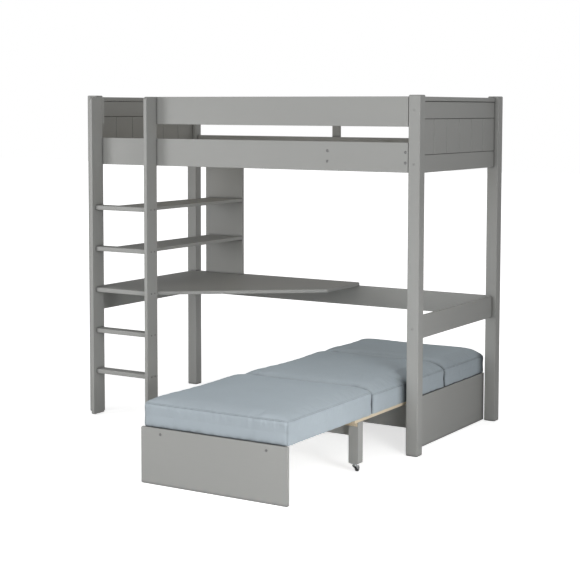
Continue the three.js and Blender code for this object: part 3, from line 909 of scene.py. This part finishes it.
class PadCut:
    """The cut of one pad, a little smaller than the room that the filling swells into."""

    def __init__(self, low, high, settings, seam_lift):
        margin = Vector((settings.room, settings.room, 0))
        self.low = low + margin
        self.high = high - margin - Vector((0, 0, settings.room))
        self.half = (self.high - self.low) / 2
        self.middle = (self.high + self.low) / 2
        self.count = settings.half_count
        self.settings = settings
        self.seam_height = settings.seam_height + seam_lift
        self.shoulder_rise = settings.shoulder_rise - seam_lift
        self.bm = bmesh.new()
        self.rows = []

    def ring_points(self, level, inset, height, spread=0.0, share=1.0):
        """Points on one square ring, drawn in by inset and set at a height over the base."""
        radius = self.settings.corner_radius + spread * inset
        half_x, half_y = self.half.x - inset, self.half.y - inset * END_SHARE
        made = []
        for i, j in square_ring(level):
            x = half_x * i / max(level, 1)
            y = half_y * j / max(level, 1)
            place = rounded_place(x, y, half_x, half_y, radius) * share
            spot = (self.middle.x + place.x, self.middle.y + place.y, self.low.z + height)
            made.append(self.bm.verts.new(spot))
        return made

    def cap(self, rings, upward):
        """Faces between the square rings of a cap, from its middle point outwards."""
        grid = {}
        for level, ring in enumerate(rings):
            grid.update(zip(square_ring(level), ring))
        last = len(rings) - 1
        for i in range(-last, last):
            for j in range(-last, last):
                loop = [grid[i, j], grid[i + 1, j], grid[i + 1, j + 1], grid[i, j + 1]]
                self.bm.faces.new(loop if upward else loop[::-1])

    def build(self, name):
        """The closed mesh of the pad: crown, shoulder, sides, bottom edge and base."""
        settings = self.settings
        top = self.high.z - self.low.z
        shoulder_top = self.seam_height + self.shoulder_rise
        crown = top - shoulder_top
        inner = self.count - SHOULDER_ROWS
        upper = []
        for level in range(inner + 1):
            share = level / inner
            height = shoulder_top + crown * (1 - share * share)
            points = self.ring_points(level, settings.shoulder, height, CORNER_SPREAD, share)
            upper.append(points)
        for row in range(1, SHOULDER_ROWS + 1):
            share = row / SHOULDER_ROWS
            inset = settings.shoulder * (1 - share)
            height = self.seam_height + self.shoulder_rise * (1 - share**SHOULDER_POWER)
            upper.append(self.ring_points(inner + row, inset, height, CORNER_SPREAD))
        self.cap(upper, True)
        self.rows = [upper[-1]]
        for row in range(1, SIDE_ROWS + 1):
            share = row / SIDE_ROWS
            height = self.seam_height + (settings.base_radius - self.seam_height) * share
            inset = SIDE_WAIST * math.sin(math.pi * share)
            self.rows.append(self.ring_points(self.count, inset, height))
        for row in range(1, BASE_ROWS + 1):
            angle = math.pi / 2 * row / BASE_ROWS
            inset = settings.base_radius * (1 - math.cos(angle))
            height = settings.base_radius * (1 - math.sin(angle))
            self.rows.append(self.ring_points(self.count, inset, height))
        for above, below in zip(self.rows, self.rows[1:]):
            skin(self.bm, below, above)
        lower = [
            self.ring_points(level, settings.base_radius, 0, 0.0, level / self.count)
            for level in range(self.count)
        ]
        self.cap(lower + [self.rows[-1]], False)
        self.bm.verts.index_update()
        corners = [corner * 2 * self.count for corner in range(4)]
        self.seam = [vertex.index for vertex in self.rows[0]]
        side = self.rows[: SIDE_ROWS + 1]
        self.uprights = [[row[corner].index for row in side] for corner in corners]
        self.base = [vertex.index for vertex in self.rows[-1]]
        mesh = bpy.data.meshes.new(name)
        self.bm.to_mesh(mesh)
        self.bm.free()
        return mesh


def read_points(mesh):
    """A mesh's points, one row each."""
    points = np.zeros(len(mesh.vertices) * 3, np.float32)
    mesh.vertices.foreach_get("co", points)
    return points.reshape(-1, 3).astype(np.float64)


def write_points(mesh, points):
    mesh.vertices.foreach_set("co", points.astype(np.float32).ravel())
    mesh.update()


def subdivide_once(piece):
    """One level of subdivision, applied to the mesh."""
    modifier = piece.modifiers.new("Finer", "SUBSURF")
    modifier.levels = 1
    graph = bpy.context.evaluated_depsgraph_get()
    made = bpy.data.meshes.new_from_object(piece.evaluated_get(graph))
    piece.modifiers.remove(modifier)
    old = piece.data
    piece.data = made
    bpy.data.meshes.remove(old)


def swell(piece, held, settings):
    """The filling pushes the cover out between its seams: a short cloth simulation."""
    before = read_points(piece.data)
    pins = piece.vertex_groups.new(name="seams")
    pins.add(held, 1.0, "REPLACE")
    cloth = piece.modifiers.new("Cloth", "CLOTH")
    fabric = cloth.settings
    fabric.vertex_group_mass = "seams"
    fabric.use_pressure = True
    fabric.uniform_pressure_force = settings.pressure
    fabric.shrink_min = -settings.fullness
    fabric.effector_weights.gravity = 0
    fabric.mass = 0.3
    fabric.tension_stiffness = 25
    fabric.compression_stiffness = 25
    fabric.shear_stiffness = 10
    fabric.bending_stiffness = 1.0
    cloth.point_cache.frame_start = 1
    cloth.point_cache.frame_end = settings.frames
    scene = bpy.context.scene
    for step in range(1, settings.frames + 1):
        scene.frame_set(step)
    graph = bpy.context.evaluated_depsgraph_get()
    swollen = read_points(piece.evaluated_get(graph).data)
    scene.frame_set(1)
    piece.modifiers.remove(cloth)
    move = swollen - before
    length = np.linalg.norm(move, axis=1, keepdims=True)
    move *= np.minimum(1.0, settings.travel_cap / np.maximum(length, 1e-9))
    write_points(piece.data, before + move)


def hold_in(mesh, low, high):
    """The pad stays in its own room: flat where it rests and where it meets its neighbour."""
    write_points(mesh, np.clip(read_points(mesh), np.array(low), np.array(high)))


def pinch(mesh, lines, depth):
    """Draw the seams into the pad."""
    normals = np.zeros(len(mesh.vertices) * 3, np.float32)
    mesh.vertices.foreach_get("normal", normals)
    normals = normals.reshape(-1, 3)
    points = read_points(mesh)
    for line in lines:
        points[line] -= normals[line] * depth
    write_points(mesh, points)


def neighbours(path, step, closed):
    """The points before and after one of a path, or the point itself at an open end."""
    before = path[step - 1] if closed or step > 0 else path[step]
    after = path[(step + 1) % len(path)] if closed or step + 1 < len(path) else path[step]
    return before, after


def add_tube(bm, path, radius, closed):
    """A tube along a path, with its ends closed where the path is open."""
    rings = []
    for step, point in enumerate(path):
        before, after = neighbours(path, step, closed)
        along = (after - before).normalized()
        side = along.cross(THREAD_REFERENCE).normalized()
        up = along.cross(side).normalized()
        corners = []
        for turn in range(THREAD_SIDES):
            angle = 2 * math.pi * turn / THREAD_SIDES
            out = side * math.cos(angle) + up * math.sin(angle)
            corners.append(bm.verts.new(point + out * radius))
        rings.append(corners)
    for lower, upper in zip(rings, rings[1:]):
        skin(bm, lower, upper)
    if closed:
        skin(bm, rings[-1], rings[0])
    else:
        bm.faces.new(rings[0])
        bm.faces.new(rings[-1][::-1])


def softened(path, closed):
    """A path with its kinks taken out and a point added between each two."""
    made = []
    for step, point in enumerate(path):
        before, after = neighbours(path, step, closed)
        made.append((before + point * 2 + after) / 4)
        if closed or step + 1 < len(path):
            made.append((point + after) / 2)
    return made


def sew(mesh, threads, low, high, settings):
    """Thread along the sewn edge and up the corners, in the pinched line of each seam."""
    points = [Vector(spot) for spot in read_points(mesh)]
    bm = bmesh.new()
    bm.from_mesh(mesh)
    room = settings.seam_radius
    for line, closed in threads:
        path = softened([points[index] for index in line], closed)
        for point in path:
            for axis in range(3):
                point[axis] = max(low[axis] + room, min(high[axis] - room, point[axis]))
        add_tube(bm, path, room, closed)
    bmesh.ops.recalc_face_normals(bm, faces=bm.faces)
    bm.to_mesh(mesh)
    bm.free()


def make_pad(node, material, settings):
    """The sewn cover that stands for one CAD pad."""
    low, high = box_of(node)
    cut = PadCut(low, high, settings, SEAM_LIFT[node])
    mesh = cut.build(f"{node}_cover")
    piece = put_in_scene(f"{node}_cover", mesh)
    uprights = [index for line in cut.uprights for index in line]
    swell(piece, cut.seam + cut.base + uprights, settings)
    hold_in(piece.data, low, high)
    pinch(piece.data, [cut.seam, *cut.uprights], settings.seam_pinch)
    subdivide_once(piece)
    hold_in(piece.data, low, high)
    threads = [(cut.seam, True)]
    threads += [(cut.uprights[corner], False) for corner in OPEN_CORNERS[node]]
    sew(piece.data, threads, low, high, settings)
    shade_smooth(piece.data)
    piece.data.materials.append(material)
    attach(piece, PAD_BODIES[node])
    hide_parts(node)


# Operators, one for each group of like pieces


class LOFTBED_OT_painted_timber(bpy.types.Operator):
    """Paint the posts, rails, boards, ladder, desk, shelves and chair bed panels"""

    bl_idname = "loftbed.painted_timber"
    bl_label = "Painted Timber"

    def execute(self, context):
        finish = context.scene.loft_bed_finish
        paints = {
            axis: paint_material(f"satin_paint_{axis.lower()}", axis, finish.paint_colour)
            for axis in "XYZ"
        }
        for node in PAINTED:
            refinish(node, paints[long_axis(node)], finish.edge_ease)
        return {"FINISHED"}


class LOFTBED_OT_pine_slats(bpy.types.Operator):
    """Give the slats and their ledgers the look of planed pine"""

    bl_idname = "loftbed.pine_slats"
    bl_label = "Pine Slats"

    def execute(self, context):
        finish = context.scene.loft_bed_finish
        pines = {
            axis: pine_material(axis, finish.pine_colour, finish.pine_ring_colour)
            for axis in "XY"
        }
        for node in PINE_NODES:
            along = "X" if node.startswith("slat_ledger") else "Y"
            refinish(node, pines[along], finish.edge_ease)
        return {"FINISHED"}


class LOFTBED_OT_pads(bpy.types.Operator):
    """Make the three soft pads, swollen by a short cloth simulation"""

    bl_idname = "loftbed.pads"
    bl_label = "Pads"

    def execute(self, context):
        finish = context.scene.loft_bed_finish
        settings = context.scene.loft_bed_pads
        seam_level = box_of("pad_front")[0].z + settings.seam_height
        cloth = cloth_material(finish.cloth_colour, finish.weave_pitch, seam_level)
        for node in PADS:
            make_pad(node, cloth, settings)
        return {"FINISHED"}


def post_places():
    """Where the bolts show on the posts, at the height of the boards that they hold."""
    places = []
    for end in ("left", "right"):
        for face, way in (("front", -1), ("rear", 1)):
            y = outer_face(f"post_{face}_{end}", way)
            for board in ("end_board_upper", "end_board_lower", "cross_rail"):
                middle = centre_of(f"{board}_{end}")
                places.append(((middle.x, y, middle.z), (0, way, 0)))
    return places


def rail_places(sizes):
    """Where the pairs of bolts show on the side rails."""
    places = []
    inner = box_of("post_front_right")[0].x
    level = centre_of("side_rail_front").z
    pairs = (
        inner - sizes.rail_end_inset,
        inner - sizes.rail_mid_inset,
        -inner + sizes.rail_end_inset,
    )
    for rail, way in (("side_rail_front", -1), ("side_rail_rear", 1)):
        y = outer_face(rail, way)
        for x in pairs:
            for step in (-0.5, 0.5):
                z = level + step * sizes.rail_pair_spacing
                places.append(((x, y, z), (0, way, 0)))
    return places


class LOFTBED_OT_bolt_heads(bpy.types.Operator):
    """Add the bolt heads on the posts and side rails, and finish the CAD bolts"""

    bl_idname = "loftbed.bolt_heads"
    bl_label = "Bolt Heads"

    def execute(self, context):
        finish = context.scene.loft_bed_finish
        sizes = context.scene.loft_bed_fasteners
        steel = metal_material("plated_steel", finish.steel_colour, 0.3, 0.5)
        for node in BOLT_NODES:
            refinish(node, steel, BOLT_EDGE)
        caps = paint_material("satin_paint_heads", "Z", finish.paint_colour)
        flat = sizes.head_height * POST_HEAD_HEIGHT_SHARE
        places = post_places()
        heads_piece("post_bolt_heads", places, sizes.post_head, flat, caps, "bed_frame")
        places = rail_places(sizes)
        full = sizes.head_height
        heads_piece("rail_bolt_heads", places, sizes.rail_head, full, steel, "bed_frame")
        return {"FINISHED"}


class LOFTBED_OT_ladder_screws(bpy.types.Operator):
    """Add the screw heads where the rungs meet the ladder stiles"""

    bl_idname = "loftbed.ladder_screws"
    bl_label = "Ladder Screws"

    def execute(self, context):
        finish = context.scene.loft_bed_finish
        sizes = context.scene.loft_bed_fasteners
        steel = metal_material("screw_steel", finish.steel_colour, 0.35, 0.55)
        places = []
        right = box_of("ladder_stile_right")[1].x
        left = box_of("ladder_stile_left")[0].x
        for rung in RUNGS:
            front = box_of(rung)[0].y
            level = centre_of(rung).z
            for step in range(2):
                y = front + sizes.screw_inset + step * sizes.screw_spacing
                places.append(((right, y, level), (1, 0, 0)))
                places.append(((left, y, level), (-1, 0, 0)))
        flat = sizes.head_height * SCREW_HEAD_HEIGHT_SHARE
        heads_piece("ladder_screw_heads", places, sizes.screw_head, flat, steel, "bed_frame")
        return {"FINISHED"}


class LOFTBED_OT_casters(bpy.types.Operator):
    """Finish the casters and add their axle rivets"""

    bl_idname = "loftbed.casters"
    bl_label = "Casters"

    def execute(self, context):
        finish = context.scene.loft_bed_finish
        zinc = metal_material("zinc_plate", finish.zinc_colour, 0.28, 0.5)
        wheel = wheel_material(finish.wheel_colour)
        for node in CASTER_METAL:
            refinish(node, zinc, CASTER_EDGE)
        for node in CASTER_WHEELS:
            refinish(node, wheel, WHEEL_EDGE, segments=3)
        for side in ("left", "right"):
            axle = centre_of(f"caster_wheel_{side}")
            low, high = box_of(f"caster_fork_{side}")
            places = [((x, axle.y, axle.z), (way, 0, 0)) for x, way in ((low.x, -1), (high.x, 1))]
            name = f"caster_rivets_{side}"
            heads_piece(name, places, RIVET_RADIUS, RIVET_HEIGHT, zinc, f"caster_{side}")
        return {"FINISHED"}


# The camera stands where the photograph's lines meet, with part of the tilt taken as shift
CAMERA_PLACE = (4.1618, -6.2484, 1.7315)
CAMERA_YAW = 0.5421
CAMERA_PITCH = 0.0782
CAMERA_ROLL = 0.0030
CAMERA_SHIFT = (-0.0215, -0.12)
SENSOR_WIDTH = 36

# Each lamp: its name, the setting that holds its power, its place, what it faces, and its size
LAMPS = (
    ("key_left", "key_power", (-2.6, -3.0, 1.6), (-0.6, 0.8, 1.0), (1.5, 1.5)),
    ("side_right", "side_power", (3.4, -2.0, 1.9), (0.6, 0, 0.9), (2.0, 2.0)),
    ("front_fill", "front_power", (0.2, -3.8, 2.0), (0.2, 0, 0.9), (2.0, 2.0)),
    ("top_front", "top_power", (0.4, -2.6, 4.2), (0.3, -0.6, 0.4), (2.0, 1.5)),
    ("rear_soft", "rear_power", (0.8, 5.5, 2.6), (0, 0, 0.9), (3.0, 2.0)),
    ("pad_side", "pad_power", (3.0, -1.7, 0.9), (0.97, -0.55, 0.32), (0.6, 0.4)),
)
LAMP_SPREADS = {"pad_side": 0.9}

# The camera sees the floor turn from pale grey under the bed to white further out
FLOOR_REACH = 30.0
GLOW_START = 1.4
GLOW_SLOPE = 0.4
GLOW_NEAR = (0.7, 0.7, 0.7, 1)
WHITE = (1, 1, 1, 1)


class LOFTBED_OT_stage(bpy.types.Operator):
    """Set the floor, the soft studio lights, the pale background and the camera"""

    bl_idname = "loftbed.stage"
    bl_label = "Stage"

    def execute(self, context):
        settings = context.scene.loft_bed_stage
        self.floor(settings)
        self.lights(settings)
        self.world(context.scene, settings)
        self.camera(context.scene, settings)
        context.scene.view_settings.view_transform = "Standard"
        return {"FINISHED"}

    def floor(self, settings):
        mesh = bpy.data.meshes.new("studio_floor")
        ways = ((-1, -1), (1, -1), (1, 1), (-1, 1))
        corners = [(x * FLOOR_REACH, y * FLOOR_REACH, 0) for x, y in ways]
        mesh.from_pydata(corners, [], [(0, 1, 2, 3)])
        ground = put_in_scene("studio_floor", mesh)
        graph = material_graph("studio_floor")
        shade = graph.node("ShaderNodeBsdfDiffuse", None, {"Color": rgba(settings.floor_colour)})
        distance = graph.node(
            "ShaderNodeVectorMath", {"operation": "LENGTH"}, {0: graph.position()}, 1
        )
        far = ((distance - GLOW_START) * GLOW_SLOPE).clamped()
        tone = graph.blend(far, GLOW_NEAR, WHITE)
        glow = graph.node("ShaderNodeEmission", None, {"Color": tone, "Strength": 1.0})
        seen = graph.node("ShaderNodeLightPath", output="Is Camera Ray")
        lit = graph.node("ShaderNodeAddShader", None, {0: shade, 1: glow})
        mixed = graph.node("ShaderNodeMixShader", None, {0: seen, 1: shade, 2: lit})
        mesh.materials.append(graph.finish(mixed))

    def lights(self, settings):
        for name, power, place, aim, size in LAMPS:
            data = bpy.data.lights.new(name, "AREA")
            data.shape = "RECTANGLE"
            data.size, data.size_y = size
            data.energy = getattr(settings, power)
            data.spread = LAMP_SPREADS.get(name, data.spread)
            lamp = put_in_scene(name, data)
            lamp.location = place
            lamp.visible_camera = False
            way = Vector(aim) - Vector(place)
            lamp.rotation_euler = way.to_track_quat("-Z", "Y").to_euler()

    def world(self, scene, settings):
        world = bpy.data.worlds.new("pale_studio")
        graph = Graph(world, "ShaderNodeOutputWorld")
        scene.world = world
        even = graph.node(
            "ShaderNodeBackground", None, {"Color": WHITE, "Strength": settings.world_light}
        )
        shown = graph.node("ShaderNodeBackground", None, {"Color": WHITE, "Strength": 1.0})
        seen = graph.node("ShaderNodeLightPath", output="Is Camera Ray")
        graph.finish(graph.node("ShaderNodeMixShader", None, {0: seen, 1: even, 2: shown}))

    def camera(self, scene, settings):
        data = bpy.data.cameras.new("photo_camera")
        data.sensor_width = SENSOR_WIDTH
        data.lens = settings.lens
        data.shift_x, data.shift_y = CAMERA_SHIFT
        camera = put_in_scene("photo_camera", data)
        level = math.cos(CAMERA_PITCH)
        ahead = Vector(
            (-math.sin(CAMERA_YAW) * level, math.cos(CAMERA_YAW) * level, -math.sin(CAMERA_PITCH))
        )
        right = Vector((math.cos(CAMERA_YAW), math.sin(CAMERA_YAW), 0))
        up = right.cross(ahead)
        side = right * math.cos(CAMERA_ROLL) + up * math.sin(CAMERA_ROLL)
        top = up * math.cos(CAMERA_ROLL) - right * math.sin(CAMERA_ROLL)
        turn = Matrix((side, top, -ahead)).transposed().to_4x4()
        camera.matrix_world = Matrix.Translation(Vector(CAMERA_PLACE)) @ turn
        scene.camera = camera


class LOFTBED_PT_panel(bpy.types.Panel):
    """Lists the operators that dress the loft bed"""

    bl_idname = "LOFTBED_PT_panel"
    bl_label = "Loft Bed"
    bl_space_type = "VIEW_3D"
    bl_region_type = "UI"
    bl_category = "Loft Bed"

    def draw(self, context):
        for operator in OPERATORS:
            self.layout.operator(operator.bl_idname)


OPERATORS = (
    LOFTBED_OT_painted_timber,
    LOFTBED_OT_pine_slats,
    LOFTBED_OT_pads,
    LOFTBED_OT_bolt_heads,
    LOFTBED_OT_ladder_screws,
    LOFTBED_OT_casters,
    LOFTBED_OT_stage,
)
SETTINGS = {
    "loft_bed_finish": FinishSettings,
    "loft_bed_pads": PadSettings,
    "loft_bed_fasteners": FastenerSettings,
    "loft_bed_stage": StageSettings,
}


def register():
    for settings in SETTINGS.values():
        bpy.utils.register_class(settings)
    for operator in OPERATORS:
        bpy.utils.register_class(operator)
    bpy.utils.register_class(LOFTBED_PT_panel)
    for name, settings in SETTINGS.items():
        setattr(bpy.types.Scene, name, PointerProperty(type=settings))


def unregister():
    for name in SETTINGS:
        delattr(bpy.types.Scene, name)
    bpy.utils.unregister_class(LOFTBED_PT_panel)
    for operator in reversed(OPERATORS):
        bpy.utils.unregister_class(operator)
    for settings in SETTINGS.values():
        bpy.utils.unregister_class(settings)


def main():
    register()
    bpy.ops.loftbed.painted_timber()
    bpy.ops.loftbed.pine_slats()
    bpy.ops.loftbed.pads()
    bpy.ops.loftbed.bolt_heads()
    bpy.ops.loftbed.ladder_screws()
    bpy.ops.loftbed.casters()
    bpy.ops.loftbed.stage()


if __name__ == "__main__":
    main()
